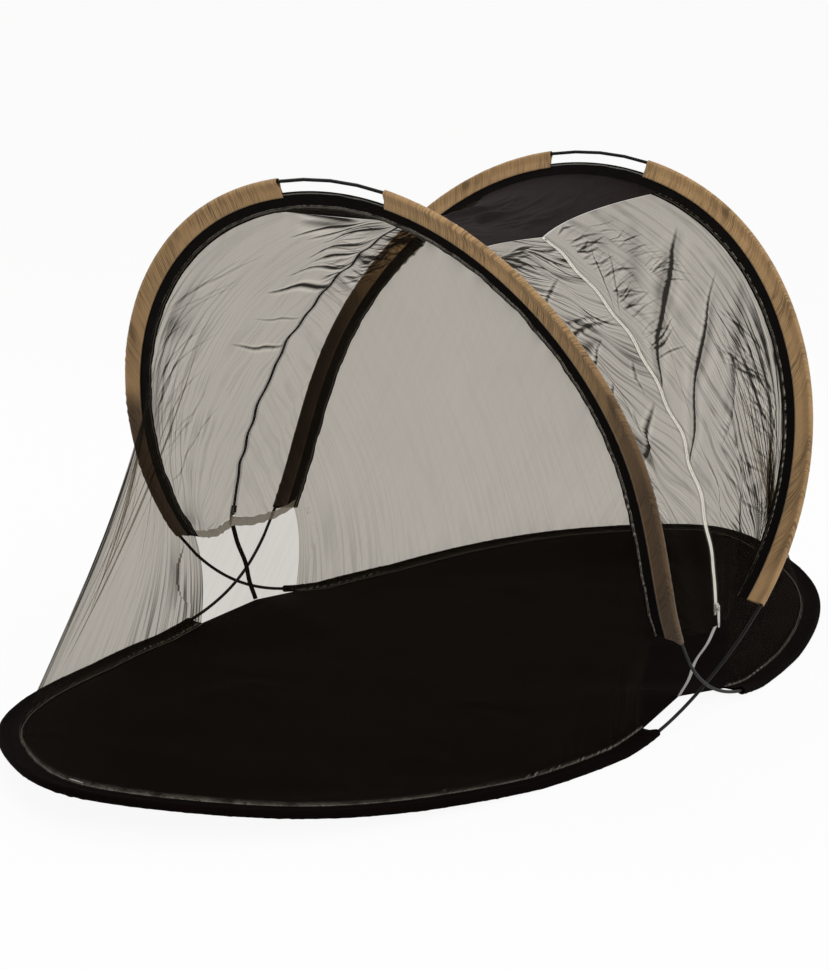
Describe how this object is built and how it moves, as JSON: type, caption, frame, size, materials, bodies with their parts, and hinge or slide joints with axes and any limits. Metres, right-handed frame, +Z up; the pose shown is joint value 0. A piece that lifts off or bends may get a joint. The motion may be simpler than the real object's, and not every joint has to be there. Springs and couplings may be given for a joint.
{
  "type": "pop-up mosquito net tent",
  "caption": "Self-standing pop-up net tent with crossed spring hoops, tan sleeves, net walls, dark roof and floor, and a zipper down each side.",
  "frame": {"origin": "centre of the footprint, on the ground", "axes": "+X along the tent from the left loop to the right loop, +Y from the front side to the far side, +Z up"},
  "size_m": [2.1104, 1.0896, 0.903],
  "materials": {
    "spring_wire": "blackened spring steel",
    "tan_sleeve": "plain-woven polyester",
    "black_band": "plain-woven polyester",
    "roof_fabric": "coated polyester, dull",
    "floor_fabric": "coated polyester, dull",
    "net": "fine mosquito mesh, see-through",
    "side_hem": "folded tape",
    "zipper_light": "woven tape and coil",
    "zipper_dark": "woven tape and coil",
    "bright_metal": "plated metal"
  },
  "bodies": {
    "ground_right": {"loop_wire_right": "spring_wire", "hem_right": "floor_fabric", "ferrule_right": "bright_metal", "floor": "floor_fabric", "end_net_right": "net", "tie_near": "black_band", "tie_far": "black_band", "wire_bend_left_near": "spring_wire", "wire_bend_left_far": "spring_wire"},
    "ground_left": {"loop_wire_left": "spring_wire", "hem_left": "floor_fabric", "ferrule_left": "bright_metal", "end_net_left": "net", "wire_bend_right_near": "spring_wire", "wire_bend_right_far": "spring_wire"},
    "arch_left": {"arch_wire_left": "spring_wire", "sleeve_left_near": "tan_sleeve", "sleeve_left_far": "tan_sleeve", "band_left": "black_band"},
    "arch_right": {"arch_wire_right": "spring_wire", "sleeve_right_near": "tan_sleeve", "sleeve_right_far": "tan_sleeve", "band_right": "black_band"},
    "canopy": {"roof": "roof_fabric", "side_net_near_left": "net", "side_net_near_right": "net", "side_net_far_left": "net", "side_net_far_right": "net", "side_hem_near": "side_hem", "side_hem_far": "side_hem", "zip_tape_near_left": "zipper_light", "zip_tape_near_right": "zipper_light", "zip_tape_far_left": "zipper_dark", "zip_tape_far_right": "zipper_dark", "zip_stop_bottom_near": "bright_metal", "zip_stop_top_near": "bright_metal", "zip_stop_bottom_far": "bright_metal", "zip_stop_top_far": "bright_metal"},
    "slider_near": {"zip_slider_near": "bright_metal"},
    "slider_far": {"zip_slider_far": "bright_metal"},
    "pull_near": {"zip_pull_near": "bright_metal"},
    "pull_far": {"zip_pull_far": "bright_metal"}
  },
  "joints": [
    {"name": "fold", "type": "hinge", "parent": "ground_right", "child": "ground_left", "pos_m": [0, 0, 0.05], "axis": [0, 1, 0], "range_deg": [0, 169], "stiffness_Nm_per_rad": 2, "deforming": ["floor", "end_net_left", "wire_bend_right_near", "wire_bend_right_far"]},
    {"name": "arch_left_fold", "type": "hinge", "parent": "ground_right", "child": "arch_left", "pos_m": [-0.10632, 0, 0.045], "axis": [0, 1, 0], "range_deg": [0, 103.2], "deforming": ["wire_bend_left_near", "wire_bend_left_far"]},
    {"name": "arch_right_fold", "type": "hinge", "parent": "ground_right", "child": "arch_right", "pos_m": [0.10632, 0, 0.045], "axis": [0, 1, 0], "range_deg": [0, 66.7], "deforming": ["end_net_right"]},
    {"name": "canopy_fold", "type": "hinge", "parent": "ground_right", "child": "canopy", "pos_m": [0, 0, 0.05], "axis": [0, 1, 0], "range_deg": [0, 83.9], "deforming": ["roof", "side_net_near_left", "side_net_near_right", "side_net_far_left", "side_net_far_right", "side_hem_near", "side_hem_far", "tie_near", "tie_far"]},
    {"name": "zip_near", "type": "hinge", "parent": "canopy", "child": "slider_near", "pos_m": [0, 0.26077, 0.12233], "axis": [-1, 0, 0], "range_deg": [0, 51.4]},
    {"name": "zip_far", "type": "hinge", "parent": "canopy", "child": "slider_far", "pos_m": [0, -0.26077, 0.12233], "axis": [1, 0, 0], "range_deg": [0, 51.4]},
    {"name": "pull_near_swing", "type": "hinge", "parent": "slider_near", "child": "pull_near", "pos_m": [0, -0.51788, 0.20489], "axis": [-1, 0, 0], "range_deg": [0, 140]},
    {"name": "pull_far_swing", "type": "hinge", "parent": "slider_far", "child": "pull_far", "pos_m": [0, 0.51788, 0.20489], "axis": [1, 0, 0], "range_deg": [0, 140]}
  ],
  "couplings": [
    {"joint": "arch_left_fold", "follows": "fold", "ratio": 0.61},
    {"joint": "arch_right_fold", "follows": "fold", "ratio": 0.394},
    {"joint": "canopy_fold", "follows": "fold", "ratio": 0.496}
  ]
}
